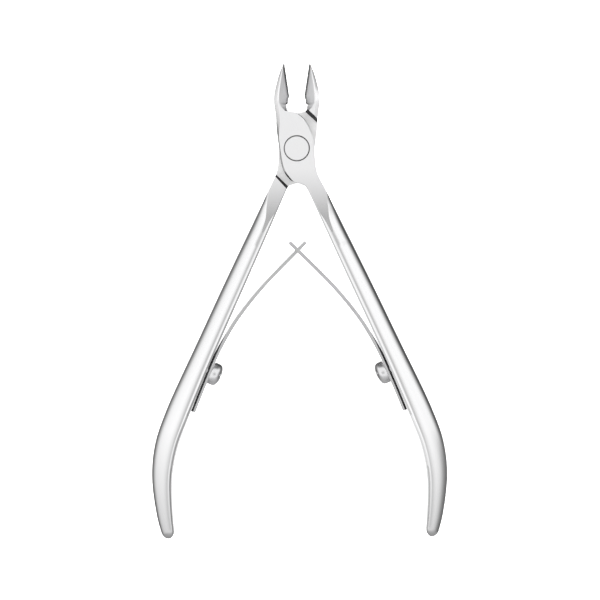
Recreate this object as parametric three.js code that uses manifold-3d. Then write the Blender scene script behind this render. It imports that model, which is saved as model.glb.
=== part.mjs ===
// Cuticle nipper: two forged levers half-lapped on a flush pivot rivet, and a pair of leaf springs whose
// ends interlock (a tongue through a slot) to hold the handles apart.
//
// Millimetres. The nipper lies on its back on Z = 0 with its front face up: +Y runs from the pivot towards
// the jaws, +X to the right, and the pivot axis is the Z axis. It is modelled at rest, with the jaws open.
//
// The rear lever is the front lever turned half a turn about the Y axis through mid-depth, so one function
// makes both. Everything is described on the front lever: jaw on the left, handle on the right.

import * as THREE from "three";
import { mergeVertices } from "three/addons/utils/BufferGeometryUtils.js";
import Module from "manifold-3d";

const wasm = await Module();
wasm.setup();

// ---- Driving dimensions -------------------------------------------------------------------------------

const DEPTH = 7; // front face to back face at the joint
const MID = DEPTH / 2; // the lap plane, which also holds the cutting edges
const LAP_GAP = 0.14; // running clearance between the two lap plates

const JAW_OPEN = 8.25; // degrees from the centre line to each cutting edge
const JAW_TIP_Y = 21.05;
const JAW_HEEL_Y = 13.15;
const EDGE_LAND = 0.12; // thickness left at the cutting edge

const SPLAY = 0.5; // degrees: the front lever's handle stands this much further out, the rear one's less
const HANDLE_TIP_Y = -97.1;
const HANDLE_CHAMFER = 0.8; // where the crown meets the flat inner face

const SHOULDERS = [
  { towards: 132.5, distance: 9.03 }, // degrees and mm from the pivot: below the jaw
  { towards: -42.4, distance: 8.51 }, // above the handle
];

const RIVET = { head: 3, shank: 2, headDepth: 1.6, clearance: 0.08 };

const SPRING = { thickness: 0.7, width: 5, gap: 0.2, clampFrom: -65.6, clampTo: -51 };
const FLEX_Y = -44.1; // where each leaf bends away from its clamped strip
const FLEX_GAP = 0.3;
const TONGUE = { width: 1.8, length: 4.4 }; // the narrow end of the left spring
const SLOT = { width: 2.6, length: 3.4, endBar: 1.3 }; // the window in the right spring

const SCREW = { y: -55.35, head: 2.85, headHeight: 2.7, shank: 1.2, grip: 3, slotWidth: 0.7, slotDepth: 0.9 };
const SCREW_CLEARANCE = 0.2; // around the shank
const SEAT_GAP = 0.2; // under the head

const ROUND = 48; // facets on a turned surface

// ---- Solids -------------------------------------------------------------------------------------------

const radians = THREE.MathUtils.degToRad;

function toSolid(geometry) {
  const bare = geometry.clone();
  bare.deleteAttribute("normal");
  bare.deleteAttribute("uv");
  const merged = mergeVertices(bare, 1e-3);
  return new wasm.Manifold(
    new wasm.Mesh({
      numProp: 3,
      vertProperties: new Float32Array(merged.attributes.position.array),
      triVerts: new Uint32Array(merged.index.array),
    }),
  );
}

function toGeometry(solid) {
  const mesh = solid.getMesh();
  const indexed = new THREE.BufferGeometry();
  indexed.setAttribute("position", new THREE.BufferAttribute(mesh.vertProperties, 3));
  indexed.setIndex(new THREE.BufferAttribute(mesh.triVerts, 1));
  const flat = indexed.toNonIndexed();
  flat.computeVertexNormals();
  return flat;
}

function extrude(outline, low, high) {
  const shape = new THREE.Shape(outline.map(([x, y]) => new THREE.Vector2(x, y)));
  const geometry = new THREE.ExtrudeGeometry(shape, { depth: high - low, bevelEnabled: false });
  return geometry.translate(0, 0, low);
}

function box(x, y, z) {
  return new THREE.BoxGeometry(x, y, z);
}

// A turned piece about +Z, from a profile of [radius, z] that starts and ends on the axis.
function turned(profile) {
  const points = profile.map(([radius, z]) => new THREE.Vector2(radius, z));
  return new THREE.LatheGeometry(points, ROUND).rotateX(Math.PI / 2);
}

// A closed skin over a row of rings. Each ring is a list of points that runs counter-clockwise about the way
// to the next ring.
function loft(rings) {
  const count = rings[0].length;
  const positions = rings.flat().flatMap((p) => [p.x, p.y, p.z]);
  const index = [];
  for (let r = 0; r + 1 < rings.length; r += 1) {
    for (let i = 0; i < count; i += 1) {
      const a = r * count + i;
      const b = r * count + ((i + 1) % count);
      index.push(a, b, b + count, a, b + count, a + count);
    }
  }
  for (const [ring, facesBack] of [[0, true], [rings.length - 1, false]]) {
    const centre = rings[ring].reduce((sum, p) => sum.add(p), new THREE.Vector3()).divideScalar(count);
    const hub = positions.length / 3;
    positions.push(centre.x, centre.y, centre.z);
    for (let i = 0; i < count; i += 1) {
      const a = ring * count + i;
      const b = ring * count + ((i + 1) % count);
      if (facesBack) index.push(hub, b, a);
      else index.push(hub, a, b);
    }
  }
  const geometry = new THREE.BufferGeometry();
  geometry.setAttribute("position", new THREE.Float32BufferAttribute(positions, 3));
  geometry.setIndex(index);
  return geometry;
}

// A smooth value through [position, value] pairs, read at a position.
function smoothThrough(pairs) {
  const last = pairs.length - 1;
  return (at) => {
    let i = 0;
    while (i < last - 1 && at > pairs[i + 1][0]) i += 1;
    const [from, a] = pairs[i];
    const [to, b] = pairs[i + 1];
    const t = THREE.MathUtils.clamp((at - from) / (to - from), 0, 1);
    const slope = (j) => {
      const low = Math.max(j - 1, 0);
      const high = Math.min(j + 1, last);
      return (pairs[high][1] - pairs[low][1]) / (pairs[high][0] - pairs[low][0]);
    };
    const width = to - from;
    const t2 = t * t;
    const t3 = t2 * t;
    return (
      (2 * t3 - 3 * t2 + 1) * a +
      (t3 - 2 * t2 + t) * width * slope(i) +
      (3 * t2 - 2 * t3) * b +
      (t3 - t2) * width * slope(i + 1)
    );
  };
}

// ---- Jaw ----------------------------------------------------------------------------------------------

const edgeX = (y) => -y * Math.tan(radians(JAW_OPEN));

// Outer side, facet ridge and half depth of the left jaw, by distance from the pivot.
const jawOuter = smoothThrough([
  [9, -5.35],
  [11.2, -5.68],
  [13.4, -5.66],
  [15.7, -5.2],
  [18.4, -4.5],
  [20, -3.8],
  [21.05, -3.22],
]);
const jawRidge = smoothThrough([
  [9, -3.6],
  [11.8, -4.45],
  [13, -4.46],
  [15, -4.18],
  [17.2, -3.74],
  [19.5, -3.28],
  [21.05, -3.13],
]);
const jawHalfDepth = smoothThrough([
  [9, 3.5],
  [11, 3.5],
  [13.15, 3.2],
  [16, 2.35],
  [19, 1.3],
  [21.05, 0.4],
]);

// The blunt inner side below the cutting edge, as [y, x, half height of its flat].
const JAW_BACK = [
  [9, -2.55, 3.4],
  [10.6, -2.62, 3.3],
  [11.05, -2.72, 2.9],
  [11.25, -2.26, 1.6],
  [12.1, -2.22, 0.9],
];

function jawRing(y, innerX, innerHalf) {
  const outer = jawOuter(y);
  const ridge = Math.min(jawRidge(y), innerX - 0.03);
  const half = jawHalfDepth(y);
  const roundness = THREE.MathUtils.smoothstep(y, 9, 14); // square at the root, rounded outside further out
  const shoulder = outer + (0.05 + 0.3 * roundness) * (ridge - outer);
  const upper = [
    [innerX, innerHalf],
    [ridge, Math.max(half * 0.95, innerHalf)],
    [shoulder, half],
    [outer, half * (0.97 - 0.47 * roundness)],
  ];
  const lower = upper.map(([x, z]) => [x, -z]).reverse();
  return [...upper, ...lower].reverse().map(([x, z]) => new THREE.Vector3(x, y, MID + z));
}

function jaw() {
  const rings = JAW_BACK.map(([y, x, half]) => jawRing(y, x, half));
  for (const y of [JAW_HEEL_Y, 14.6, 16, 17.4, 18.7, 19.8, 20.6, JAW_TIP_Y]) {
    rings.push(jawRing(y, edgeX(y), EDGE_LAND / 2));
  }
  return loft(rings);
}

// ---- Lap plate, with the roots of the jaw and the handle -----------------------------------------------

const PLATE_OUTLINE = [
  [-5.5, 10],
  [-5.2, 7.6],
  [-5.08, 5.2],
  [-4.86, 3.2],
  [-4.55, 0.8],
  [-4.25, -1.4],
  [-3.95, -3.3],
  [-3.4, -5.3],
  [-2.4, -7],
  [-0.9, -8.35],
  [0.9, -8.85],
  [2.05, -9.3],
  [2.75, -10.6],
  [3.25, -11.7],
  [7.2, -10.9],
  [6.25, -8.7],
  [5.3, -6.7],
  [4.8, -4.7],
  [4.52, -2],
  [4.38, 0.6],
  [4.05, 2.6],
  [3.4, 4.7],
  [2.55, 6.4],
  [1.4, 7.8],
  [0.2, 8.7],
  [-1, 9.06],
  [-2.05, 9.3],
  [-2.5, 9.7],
  [-2.56, 10.2],
];

// What the other lever's plate needs: everything behind the lap plane, between the two ground shoulders.
function recess() {
  const reach = 30;
  const corners = SHOULDERS.flatMap(({ towards, distance }) => {
    const normal = new THREE.Vector2(Math.cos(radians(towards)), Math.sin(radians(towards)));
    const foot = normal.clone().multiplyScalar(distance);
    const along = new THREE.Vector2(-normal.y, normal.x).multiplyScalar(reach);
    return [foot.clone().sub(along), foot.clone().add(along)].map((p) => [p.x, p.y]);
  });
  return extrude(corners, -1, MID + LAP_GAP / 2);
}

// ---- Handle -------------------------------------------------------------------------------------------

const HANDLE_PATH = new THREE.CatmullRomCurve3(
  [
    [4.4, -9.3],
    [12, -25.4],
    [20.8, -44.1],
    [27.7, -59.1],
    [31, -66.6],
    [33.6, -74],
    [34.6, -81.6],
    [33.9, -91],
    [32.8, HANDLE_TIP_Y],
  ].map(([x, y]) => new THREE.Vector3(x, y, MID)),
  false,
  "centripetal",
);

// Width across the handle and its full depth, by distance below the pivot. Near the joint the crown stands
// above the ground faces, which cut a tapering flat out of it.
const handleWidth = smoothThrough([
  [9.3, 3.9],
  [19.1, 4.35],
  [34.1, 4.6],
  [51.6, 4.9],
  [66.6, 5.45],
  [74, 5.35],
  [81.6, 4.8],
  [91.6, 3.8],
  [97.1, 3],
]);
const handleDepth = smoothThrough([
  [9.3, 24],
  [11.6, 18],
  [13, 11],
  [14.5, 8.9],
  [16.5, 7.5],
  [20, 7],
  [26, 6.8],
  [68, 6.8],
  [82, 5.6],
  [92, 4.4],
  [97.1, 3.6],
]);

// Half-round outside with its crown nearer the inner side, then a chamfer and a flat inner face.
function handleSection(width, depth) {
  const crown = -0.2 * width;
  const upper = [];
  for (let step = 6; step >= 0; step -= 1) {
    const angle = (step / 6) * (Math.PI / 2);
    upper.push([crown + (width / 2 - crown) * Math.sin(angle), (depth / 2) * Math.cos(angle)]);
  }
  const inner = -width / 2;
  const chamfer = Math.min(HANDLE_CHAMFER, width / 5);
  upper.push([inner + chamfer, depth / 2 - 0.25 * chamfer]);
  upper.push([inner, depth / 2 - 1.25 * chamfer]);
  const lower = upper
    .slice(1)
    .map(([across, up]) => [across, -up])
    .reverse();
  return [...upper, ...lower];
}

// A station on the handle: its centre, its outward direction and its width and depth.
function handleStation(t) {
  const centre = HANDLE_PATH.getPointAt(t);
  const tangent = HANDLE_PATH.getTangentAt(t);
  const outward = new THREE.Vector3(-tangent.y, tangent.x, 0).normalize();
  return { centre, outward, width: handleWidth(-centre.y), depth: handleDepth(-centre.y) };
}

function handle() {
  const stations = 34;
  const roundTip = 1.9; // length over which the end rounds off
  const length = HANDLE_PATH.getLength();
  const rings = [];
  const places = [];
  for (let i = 0; i <= stations; i += 1) places.push(((i / stations) * (length - roundTip)) / length);
  for (const angle of [25, 45, 60, 75, 85]) {
    places.push((length - roundTip + roundTip * Math.sin(radians(angle))) / length);
  }
  for (const t of places) {
    const { centre, outward, width, depth } = handleStation(t);
    const past = (t * length - (length - roundTip)) / roundTip;
    const shrink = past > 0 ? Math.sqrt(1 - past * past) : 1;
    rings.push(
      handleSection(width, depth).map(([across, up]) =>
        centre
          .clone()
          .addScaledVector(outward, across * shrink)
          .add(new THREE.Vector3(0, 0, up * shrink)),
      ),
    );
  }
  return loft(rings);
}

// The point at a given height that lies a given distance inside the handle's inner face, and the way in.
function besideHandle(offset, y) {
  let low = 0;
  let high = 1;
  let place;
  for (let pass = 0; pass < 40; pass += 1) {
    const t = (low + high) / 2;
    const { centre, outward, width } = handleStation(t);
    place = { point: centre.addScaledVector(outward, -(width / 2 + offset)), inward: outward.negate() };
    if (place.point.y > y) low = t;
    else high = t;
  }
  return place;
}

// ---- Springs (on the right handle; the left ones are mirrored) -------------------------------------------

// One spring's middle line: along the handle's inner face, then peeling off it and across the centre line.
const STRIP_OFFSET = SPRING.gap + SPRING.thickness / 2;
const SPRING_PATH = new THREE.CatmullRomCurve3(
  [
    ...[SPRING.clampFrom, -60.5, -56, SPRING.clampTo].map((y) => besideHandle(STRIP_OFFSET, y).point),
    new THREE.Vector3(16.6, FLEX_Y, MID),
    new THREE.Vector3(11.1, -36.6, MID),
    new THREE.Vector3(4.3, -29.1, MID),
    new THREE.Vector3(-1.05, -24.15, MID),
    new THREE.Vector3(-2.05, -23.35, MID),
  ],
  false,
  "centripetal",
);
const SPRING_LENGTH = SPRING_PATH.getLength();

// How far along the spring it passes a given height.
function lengthAtHeight(y) {
  let low = 0;
  let high = SPRING_LENGTH;
  for (let pass = 0; pass < 40; pass += 1) {
    const middle = (low + high) / 2;
    if (SPRING_PATH.getPointAt(middle / SPRING_LENGTH).y < y) low = middle;
    else high = middle;
  }
  return low;
}

const FLEX_AT = lengthAtHeight(FLEX_Y);

// A strip of spring steel along a line, as an outline of its thickness.
function strip(line) {
  const sides = [[], []];
  line.forEach((point, i) => {
    const before = line[Math.max(i - 1, 0)];
    const after = line[Math.min(i + 1, line.length - 1)];
    const tangent = after.clone().sub(before).normalize();
    const normal = new THREE.Vector3(-tangent.y, tangent.x, 0).multiplyScalar(SPRING.thickness / 2);
    sides[0].push([point.x + normal.x, point.y + normal.y]);
    sides[1].push([point.x - normal.x, point.y - normal.y]);
  });
  return extrude([...sides[1], ...sides[0].reverse()], MID - SPRING.width / 2, MID + SPRING.width / 2);
}

// The part of the spring's middle line between two lengths along it.
function springLine(from, to, steps) {
  return Array.from({ length: steps + 1 }, (_, i) =>
    SPRING_PATH.getPointAt((from + ((to - from) * i) / steps) / SPRING_LENGTH),
  );
}

const clampedLine = () => springLine(0, FLEX_AT - FLEX_GAP / 2, 14);
const leafLine = () => springLine(FLEX_AT + FLEX_GAP / 2, SPRING_LENGTH, 18);

// A block of a given size whose middle is a given distance back from the leaf's end.
function blockOnLeaf(back, along, through, wide, lift) {
  const t = Math.min((SPRING_LENGTH - back) / SPRING_LENGTH, 1);
  const tangent = SPRING_PATH.getTangentAt(t);
  const centre = SPRING_PATH.getPointAt(t);
  return box(along, through, wide)
    .rotateZ(Math.atan2(tangent.y, tangent.x))
    .translate(centre.x, centre.y, MID + lift);
}

function slottedLeaf() {
  const back = SLOT.endBar + SLOT.length / 2;
  return toSolid(strip(leafLine())).subtract(toSolid(blockOnLeaf(back, SLOT.length, 3, SLOT.width, 0)));
}

function tonguedLeaf() {
  const side = (SPRING.width - TONGUE.width) / 2;
  const lift = TONGUE.width / 2 + side;
  let leaf = toSolid(strip(leafLine()));
  for (const sign of [1, -1]) {
    const block = blockOnLeaf(TONGUE.length / 2 - 1, TONGUE.length + 2, 4, 2 * side, sign * lift);
    leaf = leaf.subtract(toSolid(block));
  }
  return leaf;
}

// ---- Screws -------------------------------------------------------------------------------------------

// Turns a piece made along +Z so that it stands on the handle's inner face where the screw goes.
function placeOnHandle(geometry) {
  const { point, inward } = besideHandle(0, SCREW.y);
  return geometry
    .rotateY(Math.PI / 2)
    .rotateZ(Math.atan2(inward.y, inward.x))
    .translate(point.x, point.y, point.z);
}

function screw(slotTurn) {
  const seat = SPRING.gap + SPRING.thickness + SEAT_GAP;
  const { head, headHeight, shank, grip, slotWidth, slotDepth } = SCREW;
  const body = turned([
    [0, -grip],
    [shank - 0.3, -grip],
    [shank, -grip + 0.3],
    [shank, seat],
    [head - 0.1, seat],
    [head, seat + 0.15],
    [head, seat + headHeight * 0.5],
    [head * 0.9, seat + headHeight * 0.75],
    [head * 0.62, seat + headHeight * 0.93],
    [0, seat + headHeight],
  ]);
  const slot = box(slotWidth, 3 * head, 2 * slotDepth)
    .rotateZ(radians(slotTurn))
    .translate(0, 0, seat + headHeight);
  return toSolid(body).subtract(toSolid(slot));
}

function screwHole() {
  const radius = SCREW.shank + SCREW_CLEARANCE;
  const bottom = -SCREW.grip - SPRING.gap;
  return turned([
    [0, bottom],
    [radius, bottom],
    [radius, 4],
    [0, 4],
  ]);
}

// ---- Rivet --------------------------------------------------------------------------------------------

function rivetShape(clearance, endClearance) {
  const { head, shank, headDepth } = RIVET;
  return turned([
    [0, -endClearance],
    [head + clearance, -endClearance],
    [head + clearance, headDepth + clearance],
    [shank + clearance, headDepth + clearance],
    [shank + clearance, DEPTH - headDepth - clearance],
    [head + clearance, DEPTH - headDepth - clearance],
    [head + clearance, DEPTH + endClearance],
    [0, DEPTH + endClearance],
  ]);
}

// ---- Lever --------------------------------------------------------------------------------------------

// A lever in the front lever's place; its handle is swung outwards by a number of degrees.
function lever(splay) {
  const slab = box(200, 300, DEPTH).translate(0, 0, MID);
  const grip = toSolid(handle()).subtract(toSolid(placeOnHandle(screwHole())));
  return toSolid(extrude(PLATE_OUTLINE, 0, DEPTH))
    .add(toSolid(jaw()))
    .add(grip.rotate([0, 0, splay]))
    .intersect(toSolid(slab))
    .subtract(toSolid(recess()))
    .subtract(toSolid(rivetShape(RIVET.clearance, 1)));
}

// Half a turn about the Y axis through mid-depth swaps front and back, and left and right.
const TURNED_OVER = new THREE.Matrix4()
  .makeTranslation(0, 0, DEPTH)
  .multiply(new THREE.Matrix4().makeRotationY(Math.PI));

// ---- The assembly -------------------------------------------------------------------------------------

const polished = { color: 0xd9dadb, roughness: 0.16, metalness: 1 };
const springSteel = { color: 0xb9babb, roughness: 0.34, metalness: 1 };
const turnedSteel = { color: 0xc4c5c6, roughness: 0.26, metalness: 1 };

const nipper = new THREE.Group();

// Adds a solid as a named mesh, swung with its handle and turned over if it belongs to the rear lever.
function add(name, solid, finish, { splay = 0, rear = false } = {}) {
  const mesh = new THREE.Mesh(toGeometry(solid), new THREE.MeshStandardMaterial(finish));
  mesh.name = name;
  mesh.rotation.z = radians(splay);
  const holder = new THREE.Group();
  if (rear) holder.applyMatrix4(TURNED_OVER);
  holder.add(mesh);
  nipper.add(holder);
}

const onFront = { splay: SPLAY };
const onRear = { splay: -SPLAY, rear: true };
const clampedStrip = () => {
  const hole = toSolid(placeOnHandle(screwHole()));
  return toSolid(strip(clampedLine())).subtract(hole);
};

add("rear_lever", lever(-SPLAY), polished, { rear: true });
add("front_lever", lever(SPLAY), polished);
add("pivot_rivet", toSolid(rivetShape(0, 0)), turnedSteel);
add("left_spring_base", clampedStrip(), springSteel, onRear);
add("left_spring_leaf", tonguedLeaf(), springSteel, onRear);
add("left_spring_screw", toSolid(placeOnHandle(toGeometry(screw(80)))), turnedSteel, onRear);
add("right_spring_base", clampedStrip(), springSteel, onFront);
add("right_spring_leaf", slottedLeaf(), springSteel, onFront);
add("right_spring_screw", toSolid(placeOnHandle(toGeometry(screw(105)))), turnedSteel, onFront);

export default nipper;
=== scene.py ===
import math

import bmesh
import bpy
import numpy as np
from mathutils import Matrix, Vector


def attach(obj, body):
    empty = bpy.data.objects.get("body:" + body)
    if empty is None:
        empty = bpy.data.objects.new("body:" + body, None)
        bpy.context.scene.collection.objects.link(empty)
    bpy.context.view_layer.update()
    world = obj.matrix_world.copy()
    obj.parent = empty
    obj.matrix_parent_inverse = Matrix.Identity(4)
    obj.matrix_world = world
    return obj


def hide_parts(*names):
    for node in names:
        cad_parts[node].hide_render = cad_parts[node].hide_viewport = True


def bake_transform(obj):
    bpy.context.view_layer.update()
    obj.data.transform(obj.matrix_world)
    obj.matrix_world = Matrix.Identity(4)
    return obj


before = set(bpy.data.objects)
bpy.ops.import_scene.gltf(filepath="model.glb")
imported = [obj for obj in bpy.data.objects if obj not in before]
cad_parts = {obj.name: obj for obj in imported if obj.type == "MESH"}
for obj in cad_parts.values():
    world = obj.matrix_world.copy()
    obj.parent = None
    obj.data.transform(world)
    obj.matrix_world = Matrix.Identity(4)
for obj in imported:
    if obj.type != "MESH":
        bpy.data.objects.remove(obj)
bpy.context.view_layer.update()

# Looks for the cuticle nipper. Shapes are worked out in millimetres, in the part's own frame, and turned
# into metres as each mesh is made. Both levers come from one description, given on the front lever: its jaw
# is on the left and its handle on the right. The rear lever is the same piece turned half a turn about an
# axis along Y at mid-depth.

MM = 0.001
DEPTH = 7.0
MID = DEPTH / 2
CROWN = MID + 0.1  # half depth of the plate before its faces are ground flat
LAP_GAP = 0.14  # space between the two plates
LAP_FLOOR = MID + LAP_GAP / 2
SPLAY = 0.5  # degrees that the front handle stands further out, and the rear one less
SIDE_POINTS = 19  # points up each side of a lever section

JAW_OPEN = 8.25  # degrees that each cutting edge is turned away from closed
JAW_TIP_Y = 21.2
JAW_HEEL_Y = 13.15  # lower end of the cutting edge
JAW_BACK_Y = 11.25  # lower end of the blunt stretch behind the heel
JAW_STEP_Y = 11.05
JAW_FOOT_Y = 10.6  # the jaw's own outlines end here and the plate's begin
FACET_END_Y = 9.4  # lower end of the ground facet
EDGE_LAND = 0.12  # depth of the flat left along the cutting edge

RIVET = {"head": 3.0, "shank": 2.0, "head_depth": 1.6, "clearance": 0.08, "rim": 0.1}
RIVET_MOUTH = {"wider": 0.18, "depth": 0.5}
SPRING = {"thickness": 0.9, "width": 5.0, "gap": 0.2, "clamp_from": -65.6, "clamp_to": -51.0}
SPRING_BEND = {"from": -50.5, "to": -37.5}  # the stretch over which a spring would bend as the handles close; its ends are found but not used
SPRING_BEVEL = {"mid": -0.03, "past_back": 0.16, "width": 1.3}
SPRING_CORNER = 0.06
TONGUE = {"width": 1.8, "length": 4.4}
SLOT = {"width": 2.6, "length": 3.4, "end_bar": 1.3}
SCREW = {"y": -55.35, "head": 2.85, "height": 2.7, "shank": 1.2, "grip": 3.0, "hole_clearance": 0.2}
SCREW_SLOT = {"width": 0.5, "depth": 0.5}

# Creases are shown crisp where faces meet at more than these angles, in degrees.
LEVER_CREASE = 22
SPRING_CREASE = 35
ROUND_CREASE = 30


# ---- Curves ---------------------------------------------------------------------------------------


def smooth_through(pairs):
    """A smooth value through (position, value) pairs, read at a position."""
    last = len(pairs) - 1

    def slope(j):
        low, high = max(j - 1, 0), min(j + 1, last)
        return (pairs[high][1] - pairs[low][1]) / (pairs[high][0] - pairs[low][0])

    def read(at):
        i = 0
        while i < last - 1 and (at - pairs[i + 1][0]) * (pairs[1][0] - pairs[0][0]) > 0:
            i += 1
        (start, a), (end, b) = pairs[i], pairs[i + 1]
        width = end - start
        t = min(max((at - start) / width, 0.0), 1.0)
        t2, t3 = t * t, t * t * t
        value = (2 * t3 - 3 * t2 + 1) * a + (3 * t2 - 2 * t3) * b
        return value + width * ((t3 - 2 * t2 + t) * slope(i) + (t3 - t2) * slope(i + 1))

    return read


def smoothstep(at, low, high):
    t = min(max((at - low) / (high - low), 0.0), 1.0)
    return t * t * (3 - 2 * t)


class Path:
    """A centripetal Catmull-Rom curve through points in the XY plane, read by its length."""

    def __init__(self, points, steps=60):
        points = [np.array(p, float) for p in points]
        ends = [2 * points[0] - points[1], 2 * points[-1] - points[-2]]
        chain = [ends[0], *points, ends[1]]
        samples = []
        for p0, p1, p2, p3 in zip(chain, chain[1:], chain[2:], chain[3:]):
            pairs = ((p0, p1), (p1, p2), (p2, p3))
            gaps = [max(np.linalg.norm(b - a) ** 0.5, 1e-6) for a, b in pairs]
            m1 = (p1 - p0) / gaps[0] - (p2 - p0) / (gaps[0] + gaps[1]) + (p2 - p1) / gaps[1]
            m2 = (p2 - p1) / gaps[1] - (p3 - p1) / (gaps[1] + gaps[2]) + (p3 - p2) / gaps[2]
            m1, m2 = m1 * gaps[1], m2 * gaps[1]
            for t in np.linspace(0, 1, steps, endpoint=False):
                c2, c3 = -3 * p1 + 3 * p2 - 2 * m1 - m2, 2 * p1 - 2 * p2 + m1 + m2
                samples.append(p1 + m1 * t + c2 * t * t + c3 * t * t * t)
        samples.append(points[-1])
        self.samples = np.array(samples)
        steps_between = np.linalg.norm(np.diff(self.samples, axis=0), axis=1)
        self.lengths = np.concatenate([[0], np.cumsum(steps_between)])
        self.length = self.lengths[-1]

    def at(self, length):
        return np.array([np.interp(length, self.lengths, self.samples[:, k]) for k in (0, 1)])

    def tangent(self, length):
        ahead = self.at(min(length + 0.2, self.length)) - self.at(max(length - 0.2, 0))
        return ahead / np.linalg.norm(ahead)

    def length_where(self, test):
        """The first length at which test(point) holds, to the nearest sample."""
        return next(n for n, p in zip(self.lengths, self.samples) if test(p))


# ---- Meshes ---------------------------------------------------------------------------------------


def make_object(name, vertices, faces):
    """An object from vertices in millimetres, with every face turned outwards."""
    mesh = bpy.data.meshes.new(name)
    mesh.from_pydata([tuple(float(c) * MM for c in v) for v in vertices], [], faces)
    obj = bpy.data.objects.new(name, mesh)
    bpy.context.scene.collection.objects.link(obj)
    work = bmesh.new()
    work.from_mesh(mesh)
    bmesh.ops.recalc_face_normals(work, faces=work.faces)
    work.to_mesh(mesh)
    work.free()
    return obj


def loft(name, rings):
    """A closed skin over rings with equal counts of points, capped by a fan at each end."""
    count = len(rings[0])
    vertices = [p for ring in rings for p in ring]
    faces = []
    for r in range(len(rings) - 1):
        for i in range(count):
            a, b = r * count + i, r * count + (i + 1) % count
            faces.append((a, b, b + count, a + count))
    for ring in (0, len(rings) - 1):
        hub = len(vertices)
        vertices.append(np.mean(np.array(rings[ring]), axis=0))
        for i in range(count):
            faces.append((hub, ring * count + i, ring * count + (i + 1) % count))
    return make_object(name, vertices, faces)


def prism(name, low_outline, high_outline, low, high):
    """A solid between two outlines with equal counts of points, at two heights."""
    count = len(low_outline)
    vertices = [(x, y, low) for x, y in low_outline] + [(x, y, high) for x, y in high_outline]
    faces = [tuple(range(count)), tuple(range(count, 2 * count))]
    faces += [(i, (i + 1) % count, (i + 1) % count + count, i + count) for i in range(count)]
    return make_object(name, vertices, faces)


def turned(name, profile, segments=96):
    """A turned solid about +Z from (radius, z) points. The first and last are on the axis."""
    rings = []
    for radius, z in profile[1:-1]:
        angles = np.linspace(0, 2 * math.pi, segments, endpoint=False)
        rings.append([(radius * math.cos(a), radius * math.sin(a), z) for a in angles])
    return loft(name, rings)


def cut(obj, cutter, operation="DIFFERENCE"):
    """Joins or cuts obj with cutter, which is used up."""
    modifier = obj.modifiers.new("cut", "BOOLEAN")
    modifier.operation = operation
    modifier.solver = "MANIFOLD"
    modifier.object = cutter
    evaluated = obj.evaluated_get(bpy.context.evaluated_depsgraph_get())
    result = bpy.data.meshes.new_from_object(evaluated)
    result.materials.clear()
    obj.modifiers.clear()
    obj.data = result
    bpy.data.objects.remove(cutter)
    return obj


def move(obj, matrix):
    """Moves the vertices by a matrix given in millimetres."""
    scale = Matrix.Scale(MM, 4)
    obj.data.transform(scale @ matrix @ scale.inverted())
    if matrix.determinant() < 0:
        obj.data.flip_normals()
    return obj


TURNED_OVER = Matrix.Translation((0, 0, DEPTH)) @ Matrix.Rotation(math.pi, 4, "Y")


def swing(degrees):
    """A turn about the pivot."""
    return Matrix.Rotation(math.radians(degrees), 4, "Z")


def smooth_with_edges(obj, angle):
    """Smooth shading, with a crisp edge wherever faces meet at more than an angle or a face is cut flat."""
    mesh = obj.data
    mesh.shade_smooth()
    work = bmesh.new()
    work.from_mesh(mesh)
    for edge in work.edges:
        if len(edge.link_faces) != 2:
            continue
        flat = [abs(f.normal.z) > 0.99999 for f in edge.link_faces]
        edge.smooth = edge.calc_face_angle(0) < math.radians(angle) and flat[0] == flat[1]
    work.to_mesh(mesh)
    work.free()
    return obj


# ---- The lever's outline --------------------------------------------------------------------------


def edge_x(y):
    """The X of the cutting edge at a distance from the pivot."""
    return -y * math.tan(math.radians(JAW_OPEN))


# Outer side, facet ridge and half depth of the left jaw, by distance from the pivot.
jaw_outer = smooth_through([
    (9, -5.35), (11.2, -5.68), (13.4, -5.66), (15.7, -5.2), (18.4, -4.5), (20, -3.9), (JAW_TIP_Y, -3.42),
])
jaw_ridge = smooth_through([
    (FACET_END_Y, -2.52), (9.6, -2.95), (10, -3.6), (10.5, -4.0), (11.2, -4.3), (12.2, -4.45), (13, -4.44),
    (14.6, -4.3), (17.1, -3.95), (19.1, -3.64), (JAW_TIP_Y, -3.36),
])
jaw_half_depth = smooth_through([
    (9, MID), (11, MID), (JAW_HEEL_Y, 3.25), (16, 2.45), (19, 1.45), (JAW_TIP_Y, 0.75),
])
# Height above the middle plane at which the ground facet would meet the cutting side without its bevel.
facet_foot = smooth_through([
    (FACET_END_Y, MID), (9.6, 3.1), (10, 2.6), (JAW_FOOT_Y, 2.15), (JAW_STEP_Y, 1.9), (JAW_BACK_Y, 1.05),
    (12.1, 0.75), (JAW_HEEL_Y, 0.4),
])
BEVEL = {"width": 0.5, "slope": 1.88, "drop": 0.69}
REAR_JAW_EASE = 17  # degrees by which the back of the rear lever's jaw is polished down flatter
# Steepest angle of the chamfer along the outer side, in degrees.
jaw_steepest = smooth_through([(2, 52), (7, 48), (9, 46), (13, 43), (17, 44), (19, 47), (JAW_TIP_Y, 50)])

# The left and right sides of the plate from jaw to handle, as (y, x).
PLATE_LEFT = [
    (JAW_FOOT_Y, -5.6), (7.6, -5.2), (5.2, -5.08), (3.2, -4.86), (0.8, -4.55), (-1.4, -4.25), (-3.3, -3.95),
    (-5.3, -3.4), (-7, -2.4), (-8.35, -0.9), (-8.85, 0.9), (-9.3, 2.05),
]
PLATE_RIGHT = [
    (JAW_FOOT_Y, -2.62), (10.2, -2.56), (9.7, -2.5), (9.3, -2.05), (9.06, -1), (8.7, 0.2), (7.8, 1.4),
    (6.4, 2.55), (4.7, 3.4), (2.6, 4.05), (0.6, 4.38), (-2, 4.52), (-4.7, 4.8), (-6.7, 5.3),
]

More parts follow.
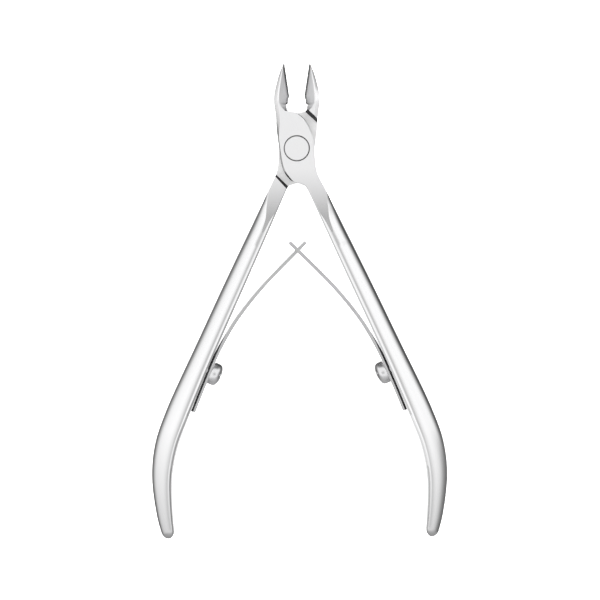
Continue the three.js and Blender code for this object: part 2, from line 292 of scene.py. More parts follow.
HANDLE_PATH = Path([
    (4.4, -9.3), (11.95, -25.4), (20.66, -44.1), (27.5, -59.1), (30.66, -66.6),
    (33.27, -74), (34.4, -81.6), (33.85, -91), (32.78, -97.3),
])
handle_width = smooth_through([
    (9.3, 3.9), (19.1, 4.4), (34.1, 4.88), (51.6, 5.2), (66.6, 5.93), (74, 5.8), (81.6, 5.15), (91.6, 4.0),
    (97.1, 3),
])
# The handle's half depth, and the reach and drop of its rounded outer side, by distance below the pivot.
# Near the joint the crown stands slightly proud of the faces, and cutting the faces flat takes it off.
handle_half = smooth_through([
    (9.3, 3.75), (12, 3.72), (14.5, 3.63), (16.5, 3.55), (18, 3.52), (20.2, 3.505), (24, 3.44), (68, 3.4),
    (82, 2.8), (92, 2.2), (97.1, 1.8),
])
outer_reach = smooth_through([
    (9.3, 0.8), (12, 1.0), (14.5, 1.9), (16.5, 2.6), (18, 2.9), (20.2, 3.06), (24, 3.1),
])
outer_drop = smooth_through([
    (9.3, 0.7), (12, 1.0), (14.5, 1.9), (16.5, 2.7), (18, 3.1), (20.2, 3.4), (24, 3.44),
])
HANDLE_ROUND = 24  # distance below the pivot at which the outer side is fully round
HANDLE_START = 1.2  # length along the handle's path where its own sections begin
ROUND_TIP = 1.9  # length over which the handle's end rounds off
CROWN_INSET = 1.1  # the most that the crown lies from the handle's inner side


def handle_station(length):
    """Centre, outward direction, width and half depth of the handle at a length along its path."""
    centre = HANDLE_PATH.at(length)
    tangent = HANDLE_PATH.tangent(length)
    outward = np.array([-tangent[1], tangent[0]])
    return centre, outward, handle_width(-centre[1]), handle_half(-centre[1])


def crown_inset(width):
    """How far the crown lies from the inner side of a handle of a given width."""
    return min(CROWN_INSET, 0.25 * width)


def beside_handle(offset, y):
    """The point at a given Y that lies an offset off the handle's inner face, and the way off it."""
    low, high = 0.0, HANDLE_PATH.length
    for _ in range(40):
        length = (low + high) / 2
        centre, outward, width, _ = handle_station(length)
        point = centre - outward * (width / 2 + offset)
        low, high = (length, high) if point[1] > y else (low, length)
    return point, -outward


# ---- Side profiles --------------------------------------------------------------------------------
# Each is a list of (inset, height) points from the middle plane up to the top, all with the same count.


def spread(knots, counts):
    """Points along straight runs between knots, with a given count of steps on each run."""
    points = [knots[0]]
    for (a, b), count in zip(zip(knots, knots[1:]), counts):
        a, b = np.array(a), np.array(b)
        points += [tuple(a + (b - a) * k / count) for k in range(1, count + 1)]
    return points


def rounded_side(reach, half, steepest=90.0, drop=None, lip=0.0):
    """An upright wall, a steep narrow lip if there is one, then a rounded corner that starts at an angle."""
    start = math.radians(steepest)
    if drop is None:
        drop = reach / math.sin(start) * (1 - math.cos(start))
    base = max(half - drop, 0.0)
    lip_foot = max(base - 2.2 * lip, 0.0)
    points = spread([(0.0, 0.0), (0.0, lip_foot), (lip, base)], [2, 1])
    steps = SIDE_POINTS - len(points)
    for k in range(1, steps + 1):
        tilt = start * (1 - k / steps)
        inset = lip + reach * (1 - math.sin(tilt) / math.sin(start))
        fall = (1 - math.cos(tilt)) / (1 - math.cos(start))
        points.append((inset, base + (half - base) * (1 - fall)))
    return points


def outer_side(below, width, half):
    """The handle's rounded outer side, at a distance below the pivot."""
    crown = width - crown_inset(width)
    if below >= HANDLE_ROUND:
        return rounded_side(crown, half, 90, half)
    reach = min(outer_reach(below), crown)
    share = smoothstep(below, 11, 15.5)  # 0 where the side is only eased, 1 where it is a quarter round
    steepest = 40 + 50 * share
    shallow = reach * math.tan(math.radians(steepest / 2))
    drop = shallow + (min(outer_drop(below), half) - shallow) * share
    return rounded_side(reach, half, steepest, drop)


def gripping_side(below, width, half):
    """The handle's inner side: a flat face, a narrow crease, then a soft rise to the crown.

    Towards the handle's end a shallow chamfer grows between the face and the crease.
    """
    chamfer = 0.01 + 0.045 * width * smoothstep(below, 58, 72)
    chamfer_rise = 0.36 * chamfer
    crease, crease_rise = 0.08 * width, 0.08 * width
    top = half - 0.02 * width
    foot = max(top - crease_rise - chamfer_rise, 0.05)
    knots = [(0.0, 0.0), (0.0, foot), (chamfer, foot + chamfer_rise), (chamfer + crease, top)]
    points = spread(knots, [3, 3, 1])
    steps = SIDE_POINTS - len(points)
    start, reach = chamfer + crease, crown_inset(width) - chamfer - crease
    for k in range(1, steps + 1):
        t = k / steps
        points.append((start + reach * t, top + (half - top) * (1 - (1 - t) ** 1.7)))
    return points


def chamfered_side(reach, half, steepest):
    """A wall, then a nearly flat chamfer at a steep angle that rolls over tightly at the top."""
    steps = SIDE_POINTS - 2
    fallen, points = 0.0, [(reach, half)]
    for k in range(steps, 0, -1):
        inset = reach * (1 - (1 - (k - 1) / steps) ** 1.5)
        middle = (inset + points[-1][0]) / 2 / reach
        tilt = math.radians(steepest) * (1 - 0.15 * middle) * (1 - smoothstep(middle, 0.72, 1.02))
        fallen += math.tan(tilt) * (points[-1][0] - inset)
        points.append((inset, max(half - fallen, 0.05)))
    points.append((0.0, 0.0))
    return points[::-1]


def ground_side(inset, half, foot, bevel):
    """The jaw's cutting side: its edge, a steep fine bevel, a ground facet, then the rounded ridge."""
    ridge = half * 0.985
    bevel = min(bevel, inset * 0.9)
    base = max(foot - BEVEL["drop"] * bevel, EDGE_LAND / 2)
    bevel_top = min(base + BEVEL["slope"] * bevel, base + 0.9 * (ridge - base))
    points = [(0.0, 0.0), (0.0, base), (bevel * 0.5, (base + bevel_top) / 2), (bevel, bevel_top)]
    facet_steps = 9
    for k in range(1, facet_steps + 1):
        t = k / facet_steps
        swell = 0.06 * inset * t * (1 - t)
        across = bevel + (inset - bevel) * t - swell * 0.5
        points.append((across, bevel_top + (ridge - bevel_top) * t + swell * 0.6))
    steps = SIDE_POINTS - len(points)
    roll = min(0.2, 0.15 * inset)
    for k in range(1, steps + 1):
        tilt = math.pi / 2 * k / steps
        points.append((inset + roll * math.sin(tilt), ridge + (half - ridge) * math.sin(tilt)))
    return points


def mixed(a, b, weight):
    """A profile between two others, at a weight from 0 to 1."""
    return [tuple((1 - weight) * np.array(p) + weight * np.array(q)) for p, q in zip(a, b)]


def ring(left, left_way, left_profile, right, right_way, right_profile):
    """One closed section from the two sides' places, inward directions and profiles."""
    upper = []
    for inset, height in left_profile:
        upper.append((*(left + left_way * inset), height))
    for inset, height in reversed(right_profile):
        upper.append((*(right + right_way * inset), height))
    lower = [(x, y, -z) for x, y, z in reversed(upper[1:-1])]
    return [np.array((x, y, MID + z)) for x, y, z in upper + lower]


# ---- Lever ----------------------------------------------------------------------------------------


def turn(vector, degrees):
    """A vector in the XY plane turned about the pivot."""
    c, s = math.cos(math.radians(degrees)), math.sin(math.radians(degrees))
    return np.array([c * vector[0] - s * vector[1], s * vector[0] + c * vector[1]])


def handle_sides(length, splay):
    """Inner and outer points of the handle at a length along its path, and the outward direction."""
    centre, outward, width, half = handle_station(length)
    centre, outward = turn(centre, splay), turn(outward, splay)
    return centre - outward * width / 2, centre + outward * width / 2, outward, width, half


def inward_normal(side, y, sign):
    """The direction into the plate from a side x = side(y); sign is 1 on the left and -1 on the right."""
    slope = (side(y + 0.1) - side(y - 0.1)) / 0.2
    normal = np.array([1.0, -slope]) * sign
    return normal / np.linalg.norm(normal)


def lever_rings(splay, jaw_ease):
    """The lever's sections from the jaw's tip, down the plate and along the handle."""
    first = handle_sides(HANDLE_START, splay)
    second = handle_sides(HANDLE_START + 1.5, splay)
    left_side = smooth_through(PLATE_LEFT + [tuple(station[0][::-1]) for station in (first, second)])
    right_side = smooth_through(PLATE_RIGHT + [tuple(station[1][::-1]) for station in (first, second)])

    # Left height, right height and the number of sections down to the next row.
    rows = [
        (JAW_TIP_Y, JAW_TIP_Y, 64), (JAW_HEEL_Y, JAW_HEEL_Y, 16), (JAW_BACK_Y, JAW_BACK_Y, 3),
        (JAW_STEP_Y, JAW_STEP_Y, 8),
        (10.2, 9.8, 8), (9.6, 9.3, 8), (9.2, 9.06, 8), (8.4, 8.7, 12), (6.2, 6.9, 22), (0.6, 0.6, 22),
        (-5.3, -4.7, 16), (-8.35, -6.5, 8), (-8.85, -7.2, 8), (first[0][1], first[1][1], 0),
    ]
    rings = []
    for (left_y, right_y, steps), (next_left, next_right, _) in zip(rows, rows[1:]):
        for k in range(steps):
            t = k / steps
            y_left = left_y + (next_left - left_y) * t
            y_right = right_y + (next_right - right_y) * t
            rings.append(plate_ring(y_left, y_right, left_side, right_side, first, jaw_ease))
    sections = 150
    for k in range(sections + 1):
        length = HANDLE_START + (HANDLE_PATH.length - ROUND_TIP - HANDLE_START) * k / sections
        rings.append(handle_ring(length, splay, 1.0))
    # The end is rounded off through these angles.
    for angle in (15, 30, 42, 53, 62, 70, 77, 83, 87.5):
        past = math.sin(math.radians(angle))
        length = HANDLE_PATH.length - ROUND_TIP + ROUND_TIP * past
        rings.append(handle_ring(length, splay, math.cos(math.radians(angle))))
    return rings


def handle_ring(length, splay, shrink):
    """A section of the handle at a length along its path, shrunk towards its middle."""
    centre, outward, width, half = handle_station(length)
    centre, outward = turn(centre, splay), turn(outward, splay)
    profiles = [gripping_side(-centre[1], width, half), outer_side(-centre[1], width, half)]
    profiles = [[(a * shrink, h * shrink) for a, h in p] for p in profiles]
    reach = outward * width / 2 * shrink
    return ring(centre - reach, outward, profiles[0], centre + reach, -outward, profiles[1])


def cutting_side(y):
    """The jaw's inner side: the cutting edge, the blunt back below its heel, the step and the throat."""
    back = [
        (JAW_HEEL_Y, edge_x(JAW_HEEL_Y)), (12.1, -2.22), (JAW_BACK_Y, -2.26), (JAW_STEP_Y, -2.72),
        (JAW_FOOT_Y, -2.62),
    ]
    if y >= JAW_HEEL_Y:
        return edge_x(y)
    return float(np.interp(-y, [-row[0] for row in back], [row[1] for row in back]))


# Reach and steepest angle of the rounding along the plate's right side, by distance below the pivot.
plate_right_reach = smooth_through([
    (-9.5, 0.15), (-9.06, 0.2), (-8.7, 0.35), (-7.8, 0.6), (-6.4, 0.85), (-4.7, 1.0), (0, 1.2), (4, 1.1),
    (9, 0.75),
])
plate_right_steepest = smooth_through([
    (-9.5, 60), (-9.06, 58), (-7.8, 40), (-6, 30), (0, 28), (5, 30), (9, 38),
])


def plate_left_profile(y, right_x, left_x, half, jaw_ease):
    """The left side of a section: the jaw's chamfer, which becomes a rounded wall down the plate."""
    steepest = jaw_steepest(y) - jaw_ease * (1 - smoothstep(y, 12.5, 16))
    if y > 9:
        across_band = 0.85 * (min(jaw_ridge(y), right_x - 0.03) - left_x)
        reach = 1.3 + (across_band - 1.3) * smoothstep(y, 9.6, 12.5)
        return chamfered_side(reach, half, steepest)
    low = smoothstep(-y, 7.4, 8.7)
    walled = rounded_side(0.45, half, 90 - 45 * low, lip=0.2 * (1 - low))
    return mixed(walled, chamfered_side(1.3, half, steepest), smoothstep(y, 2, 7))


def plate_right_profile(y, right_x, half):
    """The right side of a section: the jaw's ground facet, and below it the plate's rounded edge."""
    if y > FACET_END_Y + 0.05:
        inset = max(right_x - min(jaw_ridge(y), right_x - 0.03), 0.03)
        bevel = BEVEL["width"] * smoothstep(y, JAW_STEP_Y, JAW_BACK_Y)
        return ground_side(inset, half, min(facet_foot(y), half * 0.98), bevel)
    lip = 0.12 * smoothstep(y, 2.5, 5) * (1 - smoothstep(y, 8.2, 9))
    return rounded_side(plate_right_reach(-y), half, plate_right_steepest(-y), lip=lip)


def plate_ring(y_left, y_right, left_side, right_side, handle_start, jaw_ease):
    """A section of the jaw or plate between a place on its left side and one on its right."""
    jaw = smoothstep(y_right, 9.5, JAW_FOOT_Y)  # 1 on the jaw, 0 on the plate
    grip = smoothstep(-y_left, 7.8, -handle_start[0][1])  # 1 at the handle's first section
    half = jaw_half_depth(y_left) if y_left > 11 else MID
    half += (CROWN - MID) * (1 - smoothstep(y_left, 11, 13.5))

    left = np.array([(jaw_outer if y_left > JAW_FOOT_Y else left_side)(y_left), y_left])
    right = np.array([(cutting_side if y_right > JAW_FOOT_Y else right_side)(y_right), y_right])
    across = np.array([1.0, 0.0])
    left_way = inward_normal(left_side, y_left, 1) * (1 - jaw) + across * jaw
    right_way = inward_normal(right_side, y_right, -1) * (1 - jaw) - across * jaw
    _, _, outward, width, handle_half_here = handle_start
    left_way = left_way * (1 - grip) + outward * grip
    right_way = right_way * (1 - grip) - outward * grip
    left_way /= np.linalg.norm(left_way)
    right_way /= np.linalg.norm(right_way)

    left_profile = plate_left_profile(y_left, right[0], left[0], half, jaw_ease)
    left_profile = mixed(left_profile, gripping_side(9.3, width, handle_half_here), grip)
    right_profile = plate_right_profile(y_right, right[0], half)
    right_profile = mixed(right_profile, outer_side(9.3, width, handle_half_here), grip)
    return ring(left, left_way, left_profile, right, right_way, right_profile)


# The two shoulders of the lap. Each wall leans from a line at its mouth to a line at its root on the floor,
# both given by direction and distance from the pivot.
SHOULDERS = [
    {"mouth": (132.5, 9.03), "root": (132.5, 8.25)},
    {"mouth": (-42.4, 8.7), "root": (-46.0, 8.25)},
]


def shoulder_line(towards, distance):
    """Two far points on a shoulder's line, and the direction from the pivot square to it."""
    angle = math.radians(towards)
    normal = np.array([math.cos(angle), math.sin(angle)])
    along = np.array([-normal[1], normal[0]]) * 30
    return [normal * distance - along, normal * distance + along], normal


def recess():
    """The space behind the lap plane that the other lever's plate turns in."""
    mouth, root = (
        [point for shoulder in SHOULDERS for point in shoulder_line(*shoulder[line])[0]]
        for line in ("mouth", "root")
    )
    return prism("recess", mouth, root, -0.001, LAP_FLOOR)


def rivet_space():
    """The hole that the rivet turns in, with a seat for each head and a slightly flared mouth."""
    head, shank = RIVET["head"] + RIVET["clearance"], RIVET["shank"] + RIVET["clearance"]
    seat = RIVET["head_depth"] + RIVET["clearance"]
    mouth, mouth_depth = head + RIVET_MOUTH["wider"], RIVET_MOUTH["depth"]
    return turned("rivet_space", [
        (0, -1), (mouth + 0.3, -1), (mouth, 0), (head, mouth_depth), (head, seat), (shank, seat),
        (shank, DEPTH - seat), (head, DEPTH - seat), (head, DEPTH - mouth_depth), (mouth, DEPTH),
        (mouth + 0.3, DEPTH + 1), (0, DEPTH + 1),
    ], 128)


def place_on_handle(obj, splay):
    """Stands a piece made along +Z on the handle's inner face where the screw goes."""
    point, inward = beside_handle(0, SCREW["y"])
    heading = Matrix.Rotation(math.atan2(inward[1], inward[0]), 4, "Z")
    place = Matrix.Translation((*point, MID)) @ heading @ Matrix.Rotation(math.pi / 2, 4, "Y")
    return move(obj, swing(splay) @ place)


def screw_hole(splay):
    """The hole for a screw's shank, through the spring and into the handle."""
    radius = SCREW["shank"] + SCREW["hole_clearance"]
    bottom = -SCREW["grip"] - SPRING["gap"]
    hole = turned("screw_hole", [(0, bottom), (radius, bottom), (radius, 4), (0, 4)], 48)
    return place_on_handle(hole, splay)


def make_lever(name, splay, jaw_ease):
    """The front lever's shape: a lofted forging, ground flat, lapped and drilled."""
    lever = loft(name, lever_rings(splay, jaw_ease))
    around = [(-99, -150), (99, -150), (99, 90), (-99, 90)]
    cut(lever, prism("slab", around, around, 0, DEPTH), "INTERSECT")
    cut(lever, recess())
    cut(lever, rivet_space())
    cut(lever, screw_hole(splay))
    return lever


# ---- Materials ------------------------------------------------------------------------------------


def new_material(name):
    """A material with a Principled shader, and its nodes and links."""
    material = bpy.data.materials.new(name)
    material.use_nodes = True
    nodes, links = material.node_tree.nodes, material.node_tree.links
    nodes.clear()
    shader = nodes.new("ShaderNodeBsdfPrincipled")
    output = nodes.new("ShaderNodeOutputMaterial")
    links.new(shader.outputs["BSDF"], output.inputs["Surface"])
    return material, nodes, links, shader


def share_between(nodes, links, place, start, end):
    """A value that goes from 0 to 1 between two places along the object's Y axis."""
    split = nodes.new("ShaderNodeSeparateXYZ")
    links.new(place.outputs["Object"], split.inputs["Vector"])
    share = nodes.new("ShaderNodeMapRange")
    share.inputs["From Min"].default_value = start
    share.inputs["From Max"].default_value = end
    links.new(split.outputs["Y"], share.inputs["Value"])
    return share.outputs["Result"]


def noise(nodes, links, vector, scale):
    """The value of a noise of a given fineness over a vector."""
    texture = nodes.new("ShaderNodeTexNoise")
    texture.inputs["Scale"].default_value = scale
    links.new(vector, texture.inputs["Vector"])
    return texture.outputs["Fac"]


def faded_with_painted_shade(nodes, links, share, smoothness, colour, last_rough, last_painted_shade):
    """Roughness that changes to a last roughness, and colour darkened by painted shade, as share goes to 1.
    """
    mix = nodes.new("ShaderNodeMix")
    mix.inputs["B"].default_value = last_rough
    links.new(share, mix.inputs["Factor"])
    links.new(smoothness, mix.inputs["A"])
    darker = nodes.new("ShaderNodeMix")
    darker.data_type = "RGBA"
    darker.blend_type = "MULTIPLY"
    darker.inputs["B"].default_value = (last_painted_shade, last_painted_shade, last_painted_shade, 1)
    links.new(share, darker.inputs["Factor"])
    links.new(colour, darker.inputs["A"])
    return mix.outputs["Result"], darker.outputs["Result"]


def steel(name, base, rough, vary, grain, contrast=0.985, stretch=(1, 1, 1), fade=None):
    """Metal whose colour and roughness come from noise in the object's own space.

    A fade gives the Y where the roughness and painted shade start to change, the Y where they end, and the
    roughness and darker painted shade that it ends with.
    """
    material, nodes, links, shader = new_material(name)
    shader.inputs["Metallic"].default_value = 1.0
    place = nodes.new("ShaderNodeTexCoord")
    mapping = nodes.new("ShaderNodeMapping")
    mapping.inputs["Scale"].default_value = tuple(grain * s for s in stretch)
    links.new(place.outputs["Object"], mapping.inputs["Vector"])
    fine = noise(nodes, links, mapping.outputs["Vector"], 1.0)
    broad = noise(nodes, links, place.outputs["Object"], 160.0)
    roughness = nodes.new("ShaderNodeMapRange")
    roughness.inputs["From Min"].default_value = 0.3
    roughness.inputs["From Max"].default_value = 0.7
    roughness.inputs["To Min"].default_value = rough - vary
    roughness.inputs["To Max"].default_value = rough + vary
    links.new(broad, roughness.inputs["Value"])
    tint = nodes.new("ShaderNodeValToRGB")
    low, high = tint.color_ramp.elements
    low.position, high.position = 0.3, 0.7
    low.color = (*(c * contrast for c in base), 1)
    high.color = (*base, 1)
    links.new(fine, tint.inputs["Fac"])
    colour, smoothness = tint.outputs["Color"], roughness.outputs["Result"]
    if fade:
        start, end, last_rough, last_painted_shade = fade
        share = share_between(nodes, links, place, start, end)
        smoothness, colour = faded_with_painted_shade(nodes, links, share, smoothness, colour, last_rough, last_painted_shade)
    links.new(colour, shader.inputs["Base Color"])
    links.new(smoothness, shader.inputs["Roughness"])
    return material


# Both fades paint shade: polished steel darkens towards the handles' ends, and ground steel from 5 to 17 mm
# below the pivot.
POLISHED = steel("polished_steel", (0.93, 0.93, 0.935), 0.11, 0.01, 2500, 0.99,
                 fade=(-0.07, -0.097, 0.2, 0.66))
GROUND = steel("ground_steel", (0.93, 0.93, 0.935), 0.5, 0.03, 5000, stretch=(1, 0.25, 1),
               fade=(-0.005, -0.017, 0.2, 0.75))
EDGE = steel("honed_edge", (0.72, 0.72, 0.73), 0.2, 0.03, 5000, stretch=(0.3, 1, 1))
# Near-black colour on the lap's shoulder walls is painted shade, standing in for the shadow there.
SHOULDER_PAINTED_SHADE = steel("shoulder_painted_shade", (0.03, 0.03, 0.032), 0.5, 0.1, 6000)
FACETED = steel("ground_facet_steel", (0.84, 0.84, 0.845), 0.42, 0.03, 5000, stretch=(0.3, 1, 1))
# The lap floor's lapped roughness is real; its lighter and darker colour mottle is painted reflection,
# standing in for patches of reflected light.
LAPPED_WITH_PAINTED_SHEEN = steel("lapped_steel_painted_sheen", (1.0, 1.0, 1.0), 0.38, 0.05, 420, 0.85)
RIVETED = steel("rivet_steel", (0.93, 0.93, 0.935), 0.5, 0.03, 2500)
SPRUNG = steel("spring_steel", (0.74, 0.74, 0.745), 0.22, 0.03, 5000, stretch=(1, 1, 0.2))
SCREWED = steel("screw_steel", (0.78, 0.78, 0.79), 0.2, 0.04, 5000)


def finish_lever(lever, rear):
    """Gives each face of a lever its finish, or painted shade on the lap's shoulders, then the lever its
    place.
    """
    mesh = lever.data
    finishes_and_painted_shade = [POLISHED, GROUND, LAPPED_WITH_PAINTED_SHEEN, EDGE, FACETED, SHOULDER_PAINTED_SHADE]
    for material in finishes_and_painted_shade:
        mesh.materials.append(material)
    for face in mesh.polygons:
        face.material_index = finishes_and_painted_shade.index(finish_or_painted_shade_at(face.center / MM, face.normal))
    smooth_with_edges(lever, LEVER_CREASE)
    if rear:
        move(lever, TURNED_OVER)


def finish_or_painted_shade_at(point, normal):
    """The finish of a lever's face, or the painted shade on a shoulder wall, by its middle and the way it
    faces.
    """
    x, y, z = point
    if abs(normal.z) > 0.99999:
        if abs(z - LAP_FLOOR) < 0.001:
            return LAPPED_WITH_PAINTED_SHEEN
        if z < 0.001 or z > DEPTH - 0.001:
            return GROUND
    if x > 0.5 and -10 < y < 7 and abs(normal.z) > 0.4:
        return GROUND
    if y > FACET_END_Y and x > jaw_ridge(y) + 0.01:
        bevelled = y > JAW_STEP_Y and cutting_side(y) - x < BEVEL["width"] - 0.01
        return EDGE if bevelled else FACETED
    # The lap's shoulder walls get the near-black painted shade.
    if 0.0 < z < LAP_FLOOR and on_shoulder(point, normal):
        return SHOULDER_PAINTED_SHADE
    return POLISHED


def on_shoulder(point, normal):
    """Whether a face lies on one of the lap's two shoulders."""
    for shoulder in SHOULDERS:
        _, away = shoulder_line(*shoulder["mouth"])
        reach = point.x * away[0] + point.y * away[1]
        facing = normal.x * away[0] + normal.y * away[1]
        if facing < -0.7 and shoulder["root"][1] - 1.5 < reach < shoulder["mouth"][1] + 1.5:
            return True
    return False


# ---- Build ----------------------------------------------------------------------------------------


def splay_of(rear):
    return -SPLAY if rear else SPLAY


def build_lever(node, rear):
    lever = make_lever(node + "_forging", splay_of(rear), REAR_JAW_EASE if rear else 0)
    finish_lever(lever, rear)
    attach(lever, "rear_half" if rear else "front_half")
    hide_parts(node)


def build_rivet():
    head, shank, rim = RIVET["head"], RIVET["shank"], RIVET["rim"]
    seat = RIVET["head_depth"]
    profile = [(0, 0), (head - rim, 0), (head, rim), (head, seat), (shank, seat)]
    rivet = turned("pivot_pin", profile + [(r, DEPTH - z) for r, z in reversed(profile)], 128)
    rivet.data.materials.append(RIVETED)
    smooth_with_edges(rivet, ROUND_CREASE)
    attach(rivet, "rear_half")
    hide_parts("pivot_rivet")


STRIP_OFFSET = SPRING["gap"] + SPRING["thickness"] / 2
CLAMPED_AT = (SPRING["clamp_from"], -60.5, -56, SPRING["clamp_to"])
SPRING_PATH = Path([
    *(beside_handle(STRIP_OFFSET, y)[0] for y in CLAMPED_AT),
    (16.6, -44.4), (13.35, -39.8), (9.2, -34.8), (5.2, -30.6), (0.6, -26), (-2.05, -23.35),
])


def rounded_corners(corners, radius, steps=3):
    """A closed outline with each corner of a polygon rounded off."""
    points = []
    neighbours = zip(corners[-1:] + corners[:-1], corners, corners[1:] + corners[:1])
    for before, corner, after in neighbours:
        before, corner, after = (np.array(p) for p in (before, corner, after))
        start = corner + (before - corner) / np.linalg.norm(before - corner) * radius
        end = corner + (after - corner) / np.linalg.norm(after - corner) * radius
        for k in range(steps + 1):
            t = k / steps
            points.append((1 - t) ** 2 * start + 2 * t * (1 - t) * corner + t * t * end)
    return points


def spring_ring(length, clamped):
    """A section square to the spring's path. Where it is clamped, the side at the handle is bevelled."""
    centre, tangent = SPRING_PATH.at(length), SPRING_PATH.tangent(length)
    normal = np.array([-tangent[1], tangent[0]])
    half_thick, half_wide = SPRING["thickness"] / 2, SPRING["width"] / 2
    plain = [(half_thick, half_wide), (-half_thick + 0.1, half_wide), (-half_thick, half_wide - 0.1)]
    back = -half_thick - SPRING_BEVEL["past_back"]
    bevelled = [
        (half_thick, half_wide), (SPRING_BEVEL["mid"], half_wide), (back, half_wide - SPRING_BEVEL["width"]),
    ]
    upper = mixed(plain, bevelled, clamped)
    corners = upper + [(across, -up) for across, up in reversed(upper)]
    outline = rounded_corners(corners, SPRING_CORNER)
    return [np.array((*(centre + normal * across), MID + up)) for across, up in outline]


def leaf_block(back, along, through, wide, lift):
    """A block of a given size whose middle is a given distance back from the spring's end."""
    length = min(SPRING_PATH.length - back, SPRING_PATH.length)
    centre, tangent = SPRING_PATH.at(length), SPRING_PATH.tangent(length)
    if back < 0:
        centre = centre - tangent * back
    x, y = along / 2, through / 2
    outline = [(-x, -y), (x, -y), (x, y), (-x, y)]
    block = prism("block", outline, outline, -wide / 2, wide / 2)
    heading = Matrix.Rotation(math.atan2(tangent[1], tangent[0]), 4, "Z")
    return move(block, Matrix.Translation((*centre, MID + lift)) @ heading)


def cut_end(spring, tongued):
    """Narrows the free end to a tongue, or cuts the slot that the other spring's tongue passes through."""
    if not tongued:
        middle = SLOT["end_bar"] + SLOT["length"] / 2
        cut(spring, leaf_block(middle, SLOT["length"], 3, SLOT["width"], 0))
        return
    spare = (SPRING["width"] - TONGUE["width"]) / 2
    lift = TONGUE["width"] / 2 + spare
    for sign in (1, -1):
        side = leaf_block(TONGUE["length"] / 2 - 1, TONGUE["length"] + 2, 4, 2 * spare, sign * lift)
        cut(spring, side)


def spring_point(y, place):
    """The spring's middle at a given Y, once it is in place, in metres."""
    length = SPRING_PATH.length_where(lambda p: p[1] > y)
    return place @ Vector((*SPRING_PATH.at(length), MID)) * MM


def build_spring(side, nodes, rear, tongued):
    steps = 130
    clamp_end = SPRING_PATH.length_where(lambda p: p[1] > SPRING["clamp_to"])
    rings = []
    for k in range(steps + 1):
        length = SPRING_PATH.length * k / steps
        rings.append(spring_ring(length, 1 - smoothstep(length, clamp_end - 1, clamp_end + 6)))
    spring = loft(side + "_spring", rings)
    cut_end(spring, tongued)
    splay = splay_of(rear)
    move(spring, swing(splay))
    cut(spring, screw_hole(splay))
    spring.data.materials.append(SPRUNG)
    smooth_with_edges(spring, SPRING_CREASE)
    mirror = TURNED_OVER if rear else Matrix.Identity(4)
    move(spring, mirror)
    place = mirror @ swing(splay)
    start, end = spring_point(SPRING_BEND["from"], place), spring_point(SPRING_BEND["to"], place)
    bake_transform(spring)
    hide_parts(*nodes)


def build_screw(side, body, rear, slot_turn):
    """A slotted screw with a domed head, whose slot is turned by some degrees."""
    seat = SPRING["gap"] + SPRING["thickness"]
    top = seat + SCREW["height"]
    head, height, shank, grip = SCREW["head"], SCREW["height"], SCREW["shank"], SCREW["grip"]
    dome = [(head * math.cos(a) * 0.98, seat + height * (0.55 + 0.45 * math.sin(a)))
            for a in np.linspace(0.12, math.pi / 2 - 0.05, 12)]
    screw = turned(side + "_screw", [
        (0, -grip), (shank - 0.3, -grip), (shank, -grip + 0.3), (shank, seat), (head - 0.25, seat),
        (head - 0.08, seat + 0.05), (head, seat + 0.22), (head, seat + height * 0.5), *dome,
        (0, top),
    ], 72)
    width = SCREW_SLOT["width"] / 2
    outline = [(-width, -9), (width, -9), (width, 9), (-width, 9)]
    slot = prism("slot", outline, outline, top - SCREW_SLOT["depth"], top + 1)
    cut(screw, move(slot, swing(slot_turn)))
    place_on_handle(screw, splay_of(rear))
    screw.data.materials.append(SCREWED)
    smooth_with_edges(screw, ROUND_CREASE)
    if rear:
        move(screw, TURNED_OVER)
    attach(screw, body)
    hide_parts(side + "_spring_screw")


build_lever("rear_lever", True)
build_lever("front_lever", False)
build_rivet()
build_spring("left", ["left_spring_base", "left_spring_leaf"], True, True)
build_spring("right", ["right_spring_base", "right_spring_leaf"], False, False)
build_screw("left", "rear_half", True, 80)
build_screw("right", "front_half", False, 105)


# ---- Stage ----------------------------------------------------------------------------------------


def build_floor():
    """A pale floor with low walls far away, so that a low view ends on the same pale ground."""
    half, wall = 2.5, 0.6
    corners = [(-half, -half), (half, -half), (half, half), (-half, half)]
    walls = [(k, (k + 1) % 4, (k + 1) % 4 + 4, k + 4) for k in range(4)]
    mesh = bpy.data.meshes.new("floor")
    mesh.from_pydata([(x, y, z) for z in (0, wall) for x, y in corners], [], [(0, 1, 2, 3), *walls])
    floor = bpy.data.objects.new("floor", mesh)
    floor.location.z = -0.00005
    bpy.context.scene.collection.objects.link(floor)
    material, _, _, shader = new_material("floor_paper")
    shader.inputs["Base Color"].default_value = (0.95, 0.95, 0.95, 1)
    shader.inputs["Roughness"].default_value = 0.9
    shader.inputs["Emission Color"].default_value = (1, 1, 1, 1)
    shader.inputs["Emission Strength"].default_value = 0.9
    floor.data.materials.append(material)
    floor.visible_glossy = False


# Brightness of the studio by angle down from straight overhead: to the left of the object, to its right, to
# its right where it turns towards the handles, past the handles' ends and beyond the jaws.
OVERHEAD = [(0, 0.5), (6, 0.56), (12, 0.8), (20, 0.95)]
UNDERNEATH = [(145, 0.3), (165, 0.85), (180, 0.9)]
LEFT_SKY = [
    *OVERHEAD, (30, 1), (60, 0.94), (79, 0.82), (89, 0.65), (100, 0.42), (113, 0.24), (128, 0.12),
    *UNDERNEATH,
]
RIGHT_SKY = [
    *OVERHEAD, (30, 1), (60, 0.99), (73, 0.9), (82, 0.72), (93, 0.42), (105, 0.18), (118, 0.06), (130, 0.05),
    *UNDERNEATH,
]
RIGHT_NEAR_SKY = [
    *OVERHEAD, (30, 0.97), (45, 0.86), (59, 0.66), (66, 0.53), (75, 0.41), (85, 0.32), (95, 0.25),
    (130, 0.15), *UNDERNEATH,
]
NEAR_SKY = OVERHEAD + [(30, 0.74), (45, 0.66), (60, 0.56), (80, 0.48), (130, 0.42), (180, 0.6)]
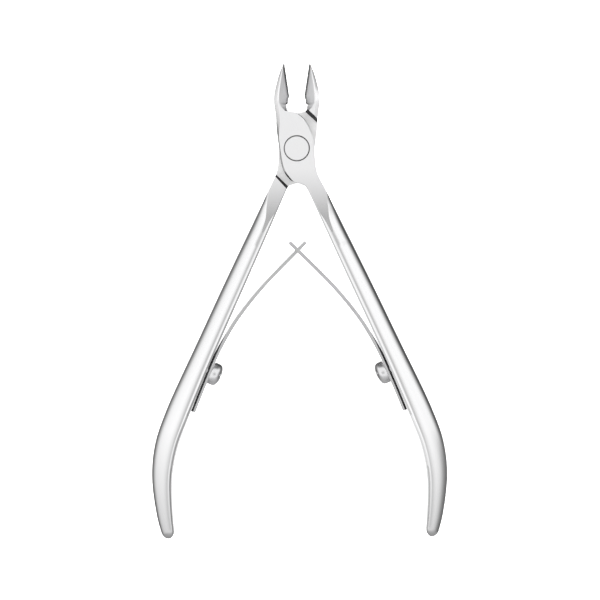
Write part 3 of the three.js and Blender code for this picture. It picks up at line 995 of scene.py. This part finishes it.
FAR_SKY = OVERHEAD + [(30, 0.95), (48, 0.8), (66, 0.3), (85, 0.06), (150, 0.05), (180, 0.4)]
SKY_STRENGTH = 1.08


def ramp_node(nodes, stops):
    """A colour ramp from (position, grey level) stops."""
    node = nodes.new("ShaderNodeValToRGB")
    elements = node.color_ramp.elements
    elements.remove(elements[1])
    elements[0].position = stops[0][0]
    for position, _ in stops[1:]:
        elements.new(position)
    for element, (_, level) in zip(elements, stops):
        element.color = (level, level, level, 1)
    return node


def blend_colours(nodes, links, first, second, along, start, end):
    """Goes smoothly from one colour to another as a value goes from start to end."""
    weight = nodes.new("ShaderNodeMapRange")
    weight.interpolation_type = "SMOOTHSTEP"
    weight.inputs["From Min"].default_value = start
    weight.inputs["From Max"].default_value = end
    links.new(along, weight.inputs["Value"])
    mix = nodes.new("ShaderNodeMix")
    mix.data_type = "RGBA"
    links.new(weight.outputs["Result"], mix.inputs["Factor"])
    links.new(first, mix.inputs["A"])
    links.new(second, mix.inputs["B"])
    return mix.outputs["Result"]


def build_sky():
    """A studio of soft grey levels that depend only on direction."""
    world = bpy.data.worlds.new("studio")
    bpy.context.scene.world = world
    world.use_nodes = True
    nodes, links = world.node_tree.nodes, world.node_tree.links
    nodes.clear()
    direction = nodes.new("ShaderNodeTexCoord")
    split = nodes.new("ShaderNodeSeparateXYZ")
    links.new(direction.outputs["Generated"], split.inputs["Vector"])
    down = nodes.new("ShaderNodeMath")
    down.operation = "ARCCOSINE"
    links.new(split.outputs["Z"], down.inputs[0])
    share = nodes.new("ShaderNodeMath")
    share.operation = "DIVIDE"
    share.inputs[1].default_value = math.pi
    links.new(down.outputs[0], share.inputs[0])
    ramps = [
        ramp_node(nodes, [(angle / 180, level) for angle, level in sky])
        for sky in (LEFT_SKY, RIGHT_SKY, RIGHT_NEAR_SKY, NEAR_SKY, FAR_SKY)
    ]
    for ramp in ramps:
        links.new(share.outputs[0], ramp.inputs["Fac"])

    left, right, right_near, near, far = (ramp.outputs["Color"] for ramp in ramps)
    x, y = split.outputs["X"], split.outputs["Y"]
    right = blend_colours(nodes, links, right, right_near, y, 0.36, 0.0)
    colour = blend_colours(nodes, links, left, right, x, -0.35, 0.35)
    colour = blend_colours(nodes, links, colour, near, y, -0.4, -0.75)
    colour = blend_colours(nodes, links, colour, far, y, 0.6, 0.9)
    background = nodes.new("ShaderNodeBackground")
    background.inputs["Strength"].default_value = SKY_STRENGTH
    links.new(colour, background.inputs["Color"])
    output = nodes.new("ShaderNodeOutputWorld")
    links.new(background.outputs["Background"], output.inputs["Surface"])


def build_lights():
    """Soft boxes that brighten the floor; the metal reflects only the studio sky."""
    height = 0.9
    for x, y in ((-0.5, 0.1), (0.5, -0.1)):
        light = bpy.data.lights.new("soft_box", "AREA")
        light.shape = "SQUARE"
        light.size = 0.9
        light.energy = 9
        lamp = bpy.data.objects.new("soft_box", light)
        lamp.location = (x, y, height)
        lamp.rotation_euler = lamp.location.to_track_quat("Z", "Y").to_euler()
        lamp.visible_glossy = False
        bpy.context.scene.collection.objects.link(lamp)


def build_camera():
    """A long lens straight above the nipper."""
    camera = bpy.data.cameras.new("camera")
    camera.lens = 280
    camera.sensor_width = 36
    view = bpy.data.objects.new("camera", camera)
    view.location = (0.0008, -0.03785, 1.1711)
    bpy.context.scene.collection.objects.link(view)
    bpy.context.scene.camera = view


build_floor()
build_sky()
build_lights()
build_camera()
bpy.context.scene.view_settings.view_transform = "Standard"
